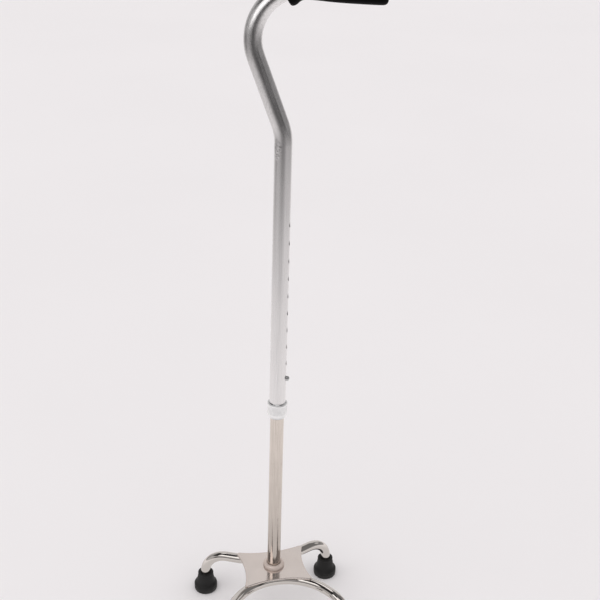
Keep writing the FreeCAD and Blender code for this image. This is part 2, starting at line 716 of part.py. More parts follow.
leg_r = cell("leg_od") / 2.0
leg_z = cell("plate_top") - cell("plate_thick") - leg_r
leg_drop = leg_z - cell("leg_foot_z")
LEGS = {}
leg_solids = {}
for side, sign in (("rear", 1), ("front", -1)):
    wire, foot, end = leg_line(cell(side + "_apex"), cell(side + "_curve"), cell(side + "_half"),
                               cell(side + "_reach"), sign)
    outer = swept(wire, foot, leg_r)
    inner = swept(wire, foot, leg_r - cell("leg_wall"))
    leg = doc.addObject("Part::Feature", side + "_leg_tube")
    leg.Shape = outer.cut(inner)
    place(leg, z=plate_bottom - d("leg_od") / 2, turn=d("base_turn"))
    node(leg, side + "_leg_tube")
    LEGS[side] = (foot, end)
    leg_solids[side] = outer

# weld beads: short wedges between the leg tubes and the underside of the plate
beads = []
for side, sign in (("rear", 1), ("front", -1)):
    radius, apex = cell(side + "_curve"), cell(side + "_apex")
    along = math.radians(cell("weld_" + side + "_at"))
    for hand in (-1, 1):
        cx = hand * radius * math.sin(along)
        cy = apex + sign * (radius - radius * math.cos(along))
        tilt = hand * sign * math.degrees(along)
        block = Part.makeBox(cell("weld_length"), cell("weld_width"), cell("weld_height"),
                             FreeCAD.Vector(-cell("weld_length") / 2, -cell("weld_width") / 2,
                                            leg_r - cell("weld_height")))
        block = block.makeChamfer(1.6, [e for e in block.Edges if all(
            abs(vx.Point.z - (leg_r - cell("weld_height"))) < 1e-6 for vx in e.Vertexes)
            and e.BoundBox.XLength > 3])
        block.Placement = FreeCAD.Placement(
            FreeCAD.Vector(cx, cy, 0), FreeCAD.Rotation(FreeCAD.Vector(0, 0, 1), tilt)) * block.Placement
        bead = block.cut(leg_solids[side])
        beads += [s for s in bead.Solids if s.Volume > 1.0]
weld = doc.addObject("Part::Feature", "leg_weld_beads")
weld.Shape = Part.makeCompound(beads)
place(weld, z=plate_bottom - d("leg_od") / 2, turn=d("base_turn"))
node(weld, "leg_weld_beads")

# ---------------------------------------------------------------- rubber tips with their discs
for side, (foot, _end) in LEGS.items():
    for hand, sx in (("left", -1), ("right", 1)):
        tip = revolved("tip_%s_%s" % (side, hand), [
            (q(0), d("tip_recess_z")),
            (d("tip_recess_r"), d("tip_recess_z")),
            (d("tip_recess_r") + 0.8, q(0)),
            (d("tip_groove_in"), q(0)),
            (d("tip_groove_in") + 0.3, d("tip_groove_z")),
            (d("tip_groove_out") - 0.3, d("tip_groove_z")),
            (d("tip_groove_out"), q(0)),
            (d("tip_sole_r"), q(0)),
            (d("tip_tread_r"), d("tip_tread_z")),
            (d("tip_rim_r"), d("tip_rim_z")),
            (d("tip_flare_r"), d("tip_flare_z"), d("tip_flare_curve"), 1),
            (d("tip_neck_r"), d("tip_neck_z")),
            (d("tip_top_r"), d("tip_height") - 0.9),
            (d("tip_top_r") - 0.9, d("tip_height")),
            (d("leg_od") / 2, d("tip_height")),
            (d("leg_od") / 2, d("tip_socket_z")),
            (q(0), d("tip_socket_z")),
        ])
        spot = (q(sx * foot[0]), q(foot[1]))
        place(tip, turn=d("base_turn"), at=spot)
        node(tip, "tip_%s_%s" % (side, hand))
        disc = new_body("tip_disc_%s_%s" % (side, hand))
        disc_sk = sketch_on(disc, "XY_Plane", "disc_circle_%s_%s" % (side, hand))
        circle(disc_sk, d("disc_r"))
        disc_pad = disc.newObject("PartDesign::Pad", "disc_pad_%s_%s" % (side, hand))
        disc_pad.Profile = disc_sk
        disc_pad.setExpression("Length", d("disc_thick").f)
        disc.Tip = disc_pad
        place(disc, z=d("tip_socket_z"), turn=d("base_turn"), at=spot)
        node(disc, "tip_disc_%s_%s" % (side, hand))

# ---------------------------------------------------------------- check and write
doc.recompute()
bad = [o.Label for o in doc.Objects if "Invalid" in o.State or "Error" in o.State]
for obj, label in NODES:
    if obj.Shape.isNull() or not obj.Shape.isValid() or not obj.Shape.Solids:
        bad.append(label)
if bad:
    raise RuntimeError("pieces that did not build: %s" % ", ".join(bad))
box = FreeCAD.BoundBox()
for obj, label in NODES:
    box.add(obj.Shape.optimalBoundingBox(False))
    obj.Shape.exportStep("parts/%s.step" % label)
print("bounds", [round(x, 3) for x in (box.XMin, box.XMax, box.YMin, box.YMax, box.ZMin, box.ZMax)])
print("nodes", len(NODES))
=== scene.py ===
import bpy
import bmesh
import math
from mathutils import Vector, Matrix


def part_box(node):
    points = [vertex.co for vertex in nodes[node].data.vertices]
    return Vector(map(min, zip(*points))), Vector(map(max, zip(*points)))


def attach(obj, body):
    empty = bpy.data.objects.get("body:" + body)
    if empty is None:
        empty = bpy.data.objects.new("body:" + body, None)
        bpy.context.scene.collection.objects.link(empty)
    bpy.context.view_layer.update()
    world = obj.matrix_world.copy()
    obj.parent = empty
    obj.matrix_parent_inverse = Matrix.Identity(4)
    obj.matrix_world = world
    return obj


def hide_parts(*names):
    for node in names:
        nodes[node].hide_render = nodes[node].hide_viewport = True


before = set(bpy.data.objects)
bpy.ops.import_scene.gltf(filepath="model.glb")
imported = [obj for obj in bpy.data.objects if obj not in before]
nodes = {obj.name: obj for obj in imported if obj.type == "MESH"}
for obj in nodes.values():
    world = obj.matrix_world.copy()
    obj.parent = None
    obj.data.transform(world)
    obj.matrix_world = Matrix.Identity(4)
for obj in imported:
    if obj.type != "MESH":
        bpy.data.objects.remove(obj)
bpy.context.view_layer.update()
scene = bpy.context.scene

# ------------------------------------------------------------------ places taken from the frame
PX, PY = -0.003166, 0.018546            # pole axis on the floor
TURN = math.radians(13.2)               # the base about the pole
PIN = math.radians(-6.0)               # the button about the pole


def mid(name):
    lo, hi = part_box(name)
    return (lo + hi) / 2


# ------------------------------------------------------------------ node helpers
class Mat:
    def __init__(self, name, base, metallic=0.0, rough=0.5, **extra):
        self.m = bpy.data.materials.new(name)
        self.m.use_nodes = True
        self.t = self.m.node_tree
        self.b = self.t.nodes["Principled BSDF"]
        self.b.inputs["Base Color"].default_value = (*base, 1.0)
        self.b.inputs["Metallic"].default_value = metallic
        self.b.inputs["Roughness"].default_value = rough
        for k, v in extra.items():
            self.b.inputs[k.replace("_", " ")].default_value = v
        self.base = base
        self.height = None

    def n(self, kind, **props):
        node = self.t.nodes.new(kind)
        for k, v in props.items():
            setattr(node, k, v)
        return node

    def link(self, a, b):
        self.t.links.new(a, b)

    def coords(self, scale=(1, 1, 1), turn=(0, 0, 0)):
        tc = self.n("ShaderNodeTexCoord")
        mp = self.n("ShaderNodeMapping")
        mp.inputs["Scale"].default_value = scale
        mp.inputs["Rotation"].default_value = turn
        self.link(tc.outputs["Object"], mp.inputs["Vector"])
        return mp.outputs["Vector"]

    def noise(self, scale, detail=3.0, rough=0.5, stretch=(1, 1, 1), distortion=0.0):
        nz = self.n("ShaderNodeTexNoise")
        nz.inputs["Scale"].default_value = scale
        nz.inputs["Detail"].default_value = detail
        nz.inputs["Roughness"].default_value = rough
        nz.inputs["Distortion"].default_value = distortion
        self.link(self.coords(stretch), nz.inputs["Vector"])
        return nz.outputs["Fac"]

    def voronoi(self, scale, feature="F1", stretch=(1, 1, 1)):
        v = self.n("ShaderNodeTexVoronoi", feature=feature)
        v.inputs["Scale"].default_value = scale
        self.link(self.coords(stretch), v.inputs["Vector"])
        return v.outputs["Distance"]

    def ramp(self, fac, stops):
        r = self.n("ShaderNodeValToRGB")
        while len(r.color_ramp.elements) < len(stops):
            r.color_ramp.elements.new(0.5)
        for e, (p, c) in zip(r.color_ramp.elements, stops):
            e.position = p
            e.color = (*c, 1.0) if len(c) == 3 else c
        self.link(fac, r.inputs["Fac"])
        return r.outputs["Color"]

    def span(self, fac, a, b, lo=0.3, hi=0.7):
        r = self.n("ShaderNodeMapRange")
        r.inputs["From Min"].default_value = lo
        r.inputs["From Max"].default_value = hi
        r.inputs["To Min"].default_value = a
        r.inputs["To Max"].default_value = b
        self.link(fac, r.inputs["Value"])
        return r.outputs["Result"]

    def math(self, op, a, b):
        m = self.n("ShaderNodeMath", operation=op)
        for i, v in enumerate((a, b)):
            if isinstance(v, (int, float)):
                m.inputs[i].default_value = v
            else:
                self.link(v, m.inputs[i])
        return m.outputs["Value"]

    def mix(self, fac, a, b, blend="MIX"):
        m = self.n("ShaderNodeMix", data_type="RGBA", blend_type=blend)
        if isinstance(fac, (int, float)):
            m.inputs[0].default_value = fac
        else:
            self.link(fac, m.inputs[0])
        for i, v in ((6, a), (7, b)):
            if isinstance(v, tuple):
                m.inputs[i].default_value = (*v, 1.0)
            else:
                self.link(v, m.inputs[i])
        return m.outputs[2]

    def color(self, sock):
        self.link(sock, self.b.inputs["Base Color"])

    def rough(self, sock):
        self.link(sock, self.b.inputs["Roughness"])

    def bump(self, sock, strength=0.2, distance=0.0005):
        bp = self.n("ShaderNodeBump")
        bp.inputs["Strength"].default_value = strength
        bp.inputs["Distance"].default_value = distance
        self.link(sock, bp.inputs["Height"])
        if self.height is not None:
            self.link(self.height, bp.inputs["Normal"])
        self.height = bp.outputs["Normal"]
        self.link(self.height, self.b.inputs["Normal"])

    def edge_wear(self, amount=0.3):
        """Pointiness: rubbed edges, brighter than the faces."""
        g = self.n("ShaderNodeNewGeometry")
        return self.span(g.outputs["Pointiness"], 0.0, amount, 0.5, 0.56)


def tint(c, k):
    return tuple(min(1.0, v * k) for v in c)


# ------------------------------------------------------------------ materials
def satin_aluminium():
    base = (0.835, 0.815, 0.825)
    m = Mat("satin_aluminium", base, 1.0, 0.26)
    # drawing lines along the tube, also where it leans over to the handle
    tc = m.n("ShaderNodeTexCoord")
    at = m.n("ShaderNodeSeparateXYZ")
    m.link(tc.outputs["Object"], at.inputs["Vector"])
    unbent = m.n("ShaderNodeCombineXYZ")
    m.link(m.math("ADD", at.outputs["X"], m.span(at.outputs["Z"], 0.0, 0.0404, 0.732, 0.840)), unbent.inputs["X"])
    m.link(at.outputs["Y"], unbent.inputs["Y"])
    m.link(at.outputs["Z"], unbent.inputs["Z"])
    fine = m.n("ShaderNodeVectorMath", operation="MULTIPLY")
    m.link(unbent.outputs["Vector"], fine.inputs[0])
    fine.inputs[1].default_value = (14, 14, 0.35)
    lines = m.n("ShaderNodeTexNoise")
    lines.inputs["Scale"].default_value = 55
    lines.inputs["Detail"].default_value = 4
    lines.inputs["Roughness"].default_value = 0.6
    m.link(fine.outputs["Vector"], lines.inputs["Vector"])
    drawn = lines.outputs["Fac"]
    cloud = m.noise(16, 3, 0.5)
    c = m.mix(m.span(cloud, 0.0, 1.0), tint(base, 0.955), tint(base, 1.02))
    c = m.mix(m.span(drawn, 0.0, 0.5, 0.42, 0.64), c, tint(base, 0.90))
    # bending coarsens the surface there
    bent = m.span(at.outputs["Z"], 0.0, 1.0, 0.735, 0.765)
    grain = m.noise(430, 3, 0.6)
    m.color(m.mix(m.math("MULTIPLY", bent, m.span(grain, 0.0, 0.75, 0.48, 0.66)), c, tint(base, 0.76)))
    # the pinch marks that bending left on the inner side of the lower bend: bumped, and their creases darkened with
    # painted shade
    off = m.n("ShaderNodeVectorMath", operation="SUBTRACT")
    m.link(tc.outputs["Object"], off.inputs[0])
    off.inputs[1].default_value = (-0.0112, 0.0112, 0.7215)
    flat = m.n("ShaderNodeVectorMath", operation="MULTIPLY")
    m.link(off.outputs["Vector"], flat.inputs[0])
    flat.inputs[1].default_value = (1.0, 1.0, 0.5)
    far = m.n("ShaderNodeVectorMath", operation="LENGTH")
    m.link(flat.outputs["Vector"], far.inputs[0])
    rim = m.math("ADD", far.outputs["Value"], m.span(m.noise(300, 3, 0.6), -0.0012, 0.0012))
    mask = m.span(rim, 1.0, 0.0, 0.0015, 0.0072)
    pinch_and_shade = m.noise(430, 3, 0.6, (0.6, 0.6, 1.4))
    # painted shade: the creases of the pinch marks are darkened towards 0.42 of the base colour
    m.color(m.mix(m.math("MULTIPLY", mask, m.span(pinch_and_shade, 0.0, 0.9, 0.42, 0.60)),
                  m.b.inputs["Base Color"].links[0].from_socket, tint(base, 0.42)))
    m.bump(m.math("MULTIPLY", pinch_and_shade, mask), 0.75, 0.0012)
    m.rough(m.math("ADD", m.span(drawn, -0.035, 0.045), m.span(cloud, 0.22, 0.29)))
    m.bump(drawn, 0.03, 0.0002)
    m.bump(m.noise(900, 2, 0.5), 0.015, 0.0001)
    return m.m


def nickel_tube():
    base = (0.715, 0.645, 0.595)
    m = Mat("nickel_tube", base, 1.0, 0.17)
    drawn = m.noise(60, 4, 0.6, (14, 14, 0.3))
    cloud = m.noise(20, 3, 0.5)
    speck = m.noise(330, 2, 0.6, (1, 1, 0.6))
    c = m.mix(m.span(cloud, 0.0, 1.0), tint(base, 0.92), tint(base, 1.05))
    c = m.mix(m.span(drawn, 0.0, 0.6, 0.42, 0.62), c, tint(base, 0.84))
    m.color(m.mix(m.span(speck, 0.0, 0.55, 0.66, 0.76), c, tint(base, 0.55)))     # pits in the plating
    m.rough(m.math("ADD", m.span(drawn, -0.03, 0.04), m.span(cloud, 0.13, 0.19)))
    m.bump(drawn, 0.05, 0.0002)
    m.bump(m.noise(700, 2, 0.5), 0.04, 0.0001)
    return m.m


def polished_plate():
    base = (0.80, 0.71, 0.665)
    m = Mat("polished_plate", base, 0.86, 0.16)
    cloud = m.noise(28, 4, 0.55)
    scuff = m.noise(120, 5, 0.7, (1, 6, 1))
    c = m.mix(m.span(cloud, 0.0, 1.0), tint(base, 0.90), tint(base, 1.04))
    c = m.mix(m.span(m.noise(9, 2, 0.5), 0.0, 0.7), c, (0.76, 0.70, 0.67))     # thinner plating in patches
    m.color(m.mix(m.span(scuff, 0.0, 0.5, 0.58, 0.78), c, tint(base, 0.80)))
    m.rough(m.math("ADD", m.span(scuff, -0.02, 0.05), m.span(cloud, 0.10, 0.17)))
    m.bump(m.noise(14, 2, 0.4), 0.06, 0.0012)              # slow waves of rolled sheet
    m.bump(scuff, 0.02, 0.0002)
    return m.m


def ferrule_satin():
    base = (0.72, 0.615, 0.56)
    m = Mat("ferrule_satin", base, 0.45, 0.45)
    cloud = m.noise(70, 4, 0.55)
    m.color(m.mix(m.span(cloud, 0.0, 1.0), tint(base, 0.93), tint(base, 1.03)))
    m.rough(m.span(cloud, 0.40, 0.50))
    m.bump(m.noise(500, 3, 0.5), 0.06, 0.0001)
    return m.m


def leg_chrome():
    base = (0.735, 0.69, 0.66)
    m = Mat("leg_chrome", base, 1.0, 0.08)
    cloud = m.noise(30, 3, 0.5)
    fine = m.noise(350, 3, 0.6)
    m.color(m.mix(m.span(cloud, 0.0, 1.0), tint(base, 0.95), tint(base, 1.02)))
    m.rough(m.math("ADD", m.span(fine, -0.01, 0.02), m.span(cloud, 0.035, 0.075)))
    m.bump(m.noise(40, 2, 0.4), 0.05, 0.0008)
    m.bump(fine, 0.03, 0.0001)
    return m.m


def collar_metal():
    base = (0.93, 0.925, 0.935)
    m = Mat("collar_metal", base, 0.6, 0.25)
    cloud = m.noise(120, 4, 0.6)
    m.color(m.mix(m.span(cloud, 0.0, 1.0), tint(base, 0.90), tint(base, 1.03)))
    m.rough(m.span(cloud, 0.14, 0.28))
    m.bump(m.noise(900, 2, 0.5), 0.06, 0.0001)
    return m.m


def collar_ring():
    base = (0.70, 0.70, 0.71)
    m = Mat("collar_ring", base, 0.8, 0.22)
    cloud = m.noise(160, 3, 0.6)
    m.color(m.mix(m.span(cloud, 0.0, 1.0), tint(base, 0.9), tint(base, 1.03)))
    m.rough(m.span(cloud, 0.18, 0.26))
    m.bump(m.noise(700, 2, 0.5), 0.05, 0.0001)
    return m.m


def plain_steel():
    base = (0.60, 0.60, 0.605)
    m = Mat("plain_steel", base, 1.0, 0.35)
    cloud = m.noise(90, 5, 0.6)
    m.color(m.ramp(cloud, [(0.25, tint(base, 0.8)), (0.6, base), (0.8, (0.66, 0.65, 0.60))]))
    m.rough(m.span(cloud, 0.28, 0.45))
    m.bump(cloud, 0.1, 0.0002)
    return m.m


def button_steel():
    base = (0.72, 0.72, 0.73)
    m = Mat("button_steel", base, 1.0, 0.16)
    cloud = m.noise(260, 3, 0.6)
    m.color(m.mix(m.span(cloud, 0.0, 1.0), tint(base, 0.88), tint(base, 1.04)))
    m.rough(m.span(cloud, 0.06, 0.14))
    m.bump(cloud, 0.06, 0.0001)
    return m.m


def black_plastic(name):
    base = (0.03, 0.03, 0.031)
    m = Mat(name, base, 0.0, 0.5)
    cloud = m.noise(60, 4, 0.6)
    m.color(m.mix(m.span(cloud, 0.0, 1.0), tint(base, 0.7), tint(base, 1.5)))
    m.rough(m.span(cloud, 0.42, 0.58))
    m.bump(m.noise(600, 3, 0.5), 0.12, 0.0001)
    return m.m


def grip_rubber():
    base = (0.0015, 0.0015, 0.0017)
    m = Mat("grip_rubber", base, 0.0, 0.52)
    m.b.inputs["Specular IOR Level"].default_value = 0.03
    cloud = m.noise(26, 4, 0.6)
    grain = m.voronoi(1100)
    wear = m.edge_wear(0.5)
    c = m.mix(m.span(cloud, 0.0, 1.0), tint(base, 0.75), tint(base, 1.5))
    m.color(m.mix(wear, c, (0.018, 0.018, 0.019)))
    m.rough(m.math("ADD", m.span(cloud, 0.42, 0.56), m.span(grain, -0.03, 0.05, 0.0, 0.7)))
    m.bump(grain, 0.28, 0.00012)
    m.bump(m.noise(320, 3, 0.6), 0.10, 0.0001)
    return m.m


def tip_rubber():
    base = (0.013, 0.0125, 0.0125)
    m = Mat("tip_rubber", base, 0.0, 0.6)
    m.b.inputs["Specular IOR Level"].default_value = 0.30
    cloud = m.noise(55, 5, 0.6)
    dust = m.noise(240, 4, 0.7)
    g = m.n("ShaderNodeSeparateXYZ")
    tc = m.n("ShaderNodeTexCoord")
    m.link(tc.outputs["Object"], g.inputs["Vector"])
    low = m.span(g.outputs["Z"], 1.0, 0.0, 0.0, 0.012)     # floor dust low on the tread
    c = m.mix(m.span(cloud, 0.0, 1.0), tint(base, 0.7), tint(base, 1.6))
    c = m.mix(m.math("MULTIPLY", low, m.span(dust, 0.0, 0.55, 0.4, 0.7)), c, (0.06, 0.057, 0.053))
    m.color(c)
    m.rough(m.span(cloud, 0.5, 0.68))
    m.bump(dust, 0.12, 0.0002)
    m.bump(m.noise(900, 2, 0.5), 0.08, 0.0001)
    return m.m


ALU = satin_aluminium()
NICKEL = nickel_tube()
PLATE = polished_plate()
CHROME = leg_chrome()
FERRULE = ferrule_satin()
COLLAR = collar_metal()
COLLAR_RING = collar_ring()
STEEL = plain_steel()
BUTTON = button_steel()
PLASTIC = black_plastic("moulded_plastic")
GRIP = grip_rubber()
TIP = tip_rubber()

CAD_LOOK = {
    "upper_tube": ALU, "lower_tube": NICKEL, "base_plate": PLATE, "base_ferrule": FERRULE,
    "rear_leg_tube": CHROME, "front_leg_tube": CHROME, "leg_weld_beads": CHROME,
    "collet_sleeve": COLLAR_RING, "locking_nut": COLLAR, "clamp_ring": PLASTIC,
    "lower_tube_plug": PLASTIC, "tube_end_plug": PLASTIC, "foot_insert": STEEL,
    "base_bolt": STEEL, "spring_washer": STEEL, "thrust_washer": STEEL, "spring_clip": STEEL,
    "snap_button": BUTTON, "handgrip": GRIP,
}
for name, obj in nodes.items():
    look = CAD_LOOK.get(name) or (STEEL if name.startswith("tip_disc") else TIP)
    obj.data.materials.clear()
    obj.data.materials.append(look)
    obj.data.polygons.foreach_set("use_smooth", [True] * len(obj.data.polygons))
    obj.data.set_sharp_from_angle(angle=math.radians(32))


# ------------------------------------------------------------------ mesh helpers
def mesh_object(name, verts, faces, look, smooth=True, sharp=35):
    me = bpy.data.meshes.new(name)
    me.from_pydata([tuple(v) for v in verts], [], faces)
    me.validate()
    bm = bmesh.new()
    bm.from_mesh(me)
    bmesh.ops.recalc_face_normals(bm, faces=bm.faces)
    bm.to_mesh(me)
    bm.free()
    me.materials.append(look)
    me.polygons.foreach_set("use_smooth", [smooth] * len(me.polygons))
    if sharp:
        me.set_sharp_from_angle(angle=math.radians(sharp))
    ob = bpy.data.objects.new(name, me)
    scene.collection.objects.link(ob)
    return ob


def smooth_profile(points, per=6):
    """Catmull-Rom through (r, z) points; a repeated point keeps a corner sharp."""
    out = []
    n = len(points)
    for i in range(n - 1):
        p1, p2 = points[i], points[i + 1]
        if p1 == p2:
            continue
        p0 = points[i - 1] if i > 0 and points[i - 1] != p1 else p1
        p3 = points[i + 2] if i + 2 < n and points[i + 2] != p2 else p2
        for k in range(per):
            t = k / per
            out.append(tuple(0.5 * ((2 * b) + (-a + c) * t + (2 * a - 5 * b + 4 * c - d) * t * t
                                    + (-a + 3 * b - 3 * c + d) * t ** 3)
                             for a, b, c, d in zip(p0, p1, p2, p3)))
    out.append(points[-1])
    return out


def lathe(name, profile, look, centre, segments=96, sharp=40, closed=False, wobble=None):
    """profile is (r, z) in mm, spun about a vertical axis through centre (metres)."""
    verts, faces, rows = [], [], []
    for r, z in profile:
        if r < 1e-6:
            rows.append([len(verts)])
            verts.append((centre[0], centre[1], centre[2] + z / 1000))
            continue
        row = []
        for k in range(segments):
            a = 2 * math.pi * k / segments
            rr = r + (wobble(a, r, z) if wobble else 0.0)
            row.append(len(verts))
            verts.append((centre[0] + rr * math.cos(a) / 1000, centre[1] + rr * math.sin(a) / 1000,
                          centre[2] + z / 1000))
        rows.append(row)
    pairs = list(zip(rows[:-1], rows[1:]))
    if closed:
        pairs.append((rows[-1], rows[0]))
    for a, b in pairs:
        for k in range(segments):
            j = (k + 1) % segments
            if len(a) == 1 and len(b) == 1:
                continue
            if len(a) == 1:
                faces.append((a[0], b[j], b[k]))
            elif len(b) == 1:
                faces.append((a[k], a[j], b[0]))
            else:
                faces.append((a[k], a[j], b[j], b[k]))
    return mesh_object(name, verts, faces, look, sharp=sharp)


# ------------------------------------------------------------------ rubber tips
TIP_PROFILE = smooth_profile([
    (0.0, 1.6), (9.0, 1.6), (9.0, 1.6), (9.8, 0.0), (9.8, 0.0), (11.2, 0.0), (11.2, 0.0),
    (11.5, 1.2), (11.5, 1.2), (12.7, 1.2), (12.7, 1.2), (13.0, 0.0), (13.0, 0.0), (15.6, 0.0),
    (16.3, 0.3), (16.75, 1.3), (17.05, 4.2), (17.15, 7.6), (16.75, 8.0), (16.75, 8.5), (17.15, 8.9), (17.1, 10.2),
    (16.5, 11.7), (15.3, 13.1), (14.1, 14.6), (13.15, 16.8), (12.55, 19.5), (12.1, 22.5), (11.55, 26.2), (11.15, 28.2),
    (11.15, 28.2),
    (11.45, 28.7), (11.5, 29.7), (11.2, 30.6), (10.4, 31.0), (8.0, 31.0), (7.4, 30.6),
    (7.25, 29.5), (7.2, 24.0), (7.2, 24.0)], 5)
for corner in ("rear_left", "rear_right", "front_left", "front_right"):
    node = "tip_" + corner
    c = mid(node)
    tip = lathe("rubber_" + node, TIP_PROFILE, TIP, (c.x, c.y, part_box(node)[0].z), 96, sharp=50)
    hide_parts(node)
    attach(tip, "base")

# ------------------------------------------------------------------ knurled nut
nut_low, nut_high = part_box("locking_nut")
nut_c = ((nut_low.x + nut_high.x) / 2, (nut_low.y + nut_high.y) / 2, 0.0)
zn = nut_low.z * 1000


def knurl(a, r, z):
    h = z - zn
    if r < 13.0 or not (8.6 < h < 22.4):
        return 0.0
    u = a * 26 + (h - 8.6) * 2 * math.pi / 3.2
    v = a * 26 - (h - 8.6) * 2 * math.pi / 3.2
    edge = min(1.0, (h - 8.6) / 0.8, (22.4 - h) / 0.8)
    ridge = max(math.cos(u), math.cos(v))
    return -0.26 * edge * max(0.0, ridge) ** 2


nut_profile = [(9.9, 0.0), (10.2, 0.0), (10.6, 0.25), (10.8, 0.7)]
nut_profile += [(10.8 + 2.75 * math.sin(t * math.pi / 2), 0.7 + 7.1 * (1 - math.cos(t * math.pi / 2)) ** 0.9)
                for t in [k / 12 for k in range(1, 13)]]
nut_profile += [(13.62, 8.3)]
nut_profile += [(13.65, 8.6 + 13.8 * k / 69) for k in range(70)]
nut_profile += [(13.5, 22.8), (13.2, 23.15), (12.8, 23.35), (12.1, 23.35), (12.05, 23.2), (12.05, 6.9), (11.6, 6.9),
                (10.45, 2.4), (9.9, 2.4)]
nut = lathe("knurled_nut", [(r, z + zn) for r, z in nut_profile], COLLAR, nut_c, 312, sharp=40,
            closed=True, wobble=knurl)
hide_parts("locking_nut")
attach(nut, "nut")

# ------------------------------------------------------------------ ferrule
hub_low, hub_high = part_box("base_ferrule")
hz = hub_low.z * 1000
hub_c = ((hub_low.x + hub_high.x) / 2, (hub_low.y + hub_high.y) / 2, 0.0)
hub_profile = [(9.56, 0.0), (14.9, 0.0), (15.15, 0.25), (15.25, 0.8), (15.25, 1.4)]
hub_profile += [(11.05 + 4.2 * math.cos(t), 1.4 + 5.0 * math.sin(t)) for t in
                [math.radians(4 + 86 * k / 22) for k in range(23)]]
hub_profile += [(10.4, 6.32), (9.9, 6.05), (9.6, 5.6), (9.56, 5.2)]
hub = lathe("ferrule_ring", [(r, z + hz) for r, z in hub_profile], FERRULE, hub_c, 128, sharp=45, closed=True)
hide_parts("base_ferrule")
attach(hub, "base")

# ------------------------------------------------------------------ hand grip
AXIS_Z = 0.9145
TOP_BEND = 0.061
ARC_X = 0.02252
ARC_Z = AXIS_Z - TOP_BEND


def grip_line(s):
    """Point and direction of the grip's axis; s in mm from the start of the straight run."""
    if s < 0:
        a = -s / 61.0
        return (Vector((ARC_X - TOP_BEND * math.sin(a), 0, ARC_Z + TOP_BEND * math.cos(a))),
                Vector((math.cos(a), 0, math.sin(a))))
    return Vector((ARC_X + s / 1000, 0, AXIS_Z)), Vector((1, 0, 0))


def grip_mesh():
    # (s, radius): neck lip, waist, palm swell, rounded end
    shape = smooth_profile([
        (-24.6, 11.15), (-25.0, 12.4), (-24.9, 15.0), (-24.0, 17.0), (-22.2, 18.1), (-19.5, 18.45),
        (-16.5, 18.3), (-13.6, 17.5), (-10.6, 16.1), (-7.0, 14.7), (-2.0, 13.6), (4.0, 13.6), (14.0, 14.25), (27.0, 15.3),
        (42.0, 16.15), (58.0, 16.7), (74.0, 17.1), (86.0, 17.2), (90.2, 16.8), (92.6, 15.6),
        (93.9, 13.4), (94.4, 9.5), (94.5, 4.0), (94.5, 0.0)], 6)
    seg = 96
    verts, faces, rows = [], [], []
    side = Vector((0, 1, 0))
    for s, r in shape:
        p, d = grip_line(s)
        up = d.cross(side)
        up.normalize()
        if up.z < 0:
            up = -up
        if r < 1e-6:
            rows.append([len(verts)])
            verts.append(p)
            continue
        row = []
        for k in range(seg):
            a = 2 * math.pi * k / seg
            ca, sa = math.cos(a), math.sin(a)
            # slightly taller than wide through the palm, the sides drawn in
            k_oval = max(0.0, min(1.0, (s + 4) / 30)) * (1.0 if s < 84 else max(0.0, (94.5 - s) / 10.5))
            rr = r * (1 + 0.0 * k_oval)
            side_r = rr * (1 - 0.055 * k_oval)
            row.append(len(verts))
            verts.append(p + up * (rr * sa / 1000) + side * (side_r * ca / 1000))
        rows.append(row)
    for a, b in zip(rows[:-1], rows[1:]):
        for k in range(seg):
            j = (k + 1) % seg
            if len(b) == 1:
                faces.append((a[k], a[j], b[0]))
            else:
                faces.append((a[k], a[j], b[j], b[k]))
    return [v + Vector((PX, PY, 0)) for v in verts], faces


gv, gf = grip_mesh()
grip = mesh_object("hand_grip_shell", gv, gf, GRIP, sharp=60)
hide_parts("handgrip")
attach(grip, "upper")

# ------------------------------------------------------------------ camera
cam_data = bpy.data.cameras.new("camera")
cam_data.lens = 69.0
cam_data.sensor_width = 36.0
cam_data.clip_start = 0.05
cam_data.clip_end = 60
cam = bpy.data.objects.new("camera", cam_data)
scene.collection.objects.link(cam)
pitch, roll = math.radians(27.0), math.radians(1.834)
fwd = Vector((0, math.cos(pitch), -math.sin(pitch)))
right0, up0 = Vector((1, 0, 0)), Vector((0, math.sin(pitch), math.cos(pitch)))
right = right0 * math.cos(roll) + up0 * math.sin(roll)
up = up0 * math.cos(roll) - right0 * math.sin(roll)
m = Matrix((right, up, -fwd)).transposed().to_4x4()
m.translation = Vector((0.0263 + PX, -1.332 + PY, 1.1925))
cam.matrix_world = m
scene.camera = cam

# ------------------------------------------------------------------ floor and light
scene.view_settings.view_transform = "Standard"
floor_mat = Mat("floor_paper", (0.87, 0.85, 0.86), 0.0, 0.8)
floor_cloud = floor_mat.noise(1.3, 3, 0.5)
floor_mat.color(floor_mat.mix(floor_mat.span(floor_cloud, 0.0, 1.0), (0.862, 0.842, 0.852), (0.878, 0.858, 0.868)))
floor_mat.b.inputs["Specular IOR Level"].default_value = 0.0
me = bpy.data.meshes.new("floor")
s = 9.0
me.from_pydata([(-s, -s, 0), (s, -s, 0), (s, s, 0), (-s, s, 0)], [], [(0, 1, 2, 3)])
me.materials.append(floor_mat.m)
floor = bpy.data.objects.new("floor", me)
scene.collection.objects.link(floor)
floor.visible_glossy = False

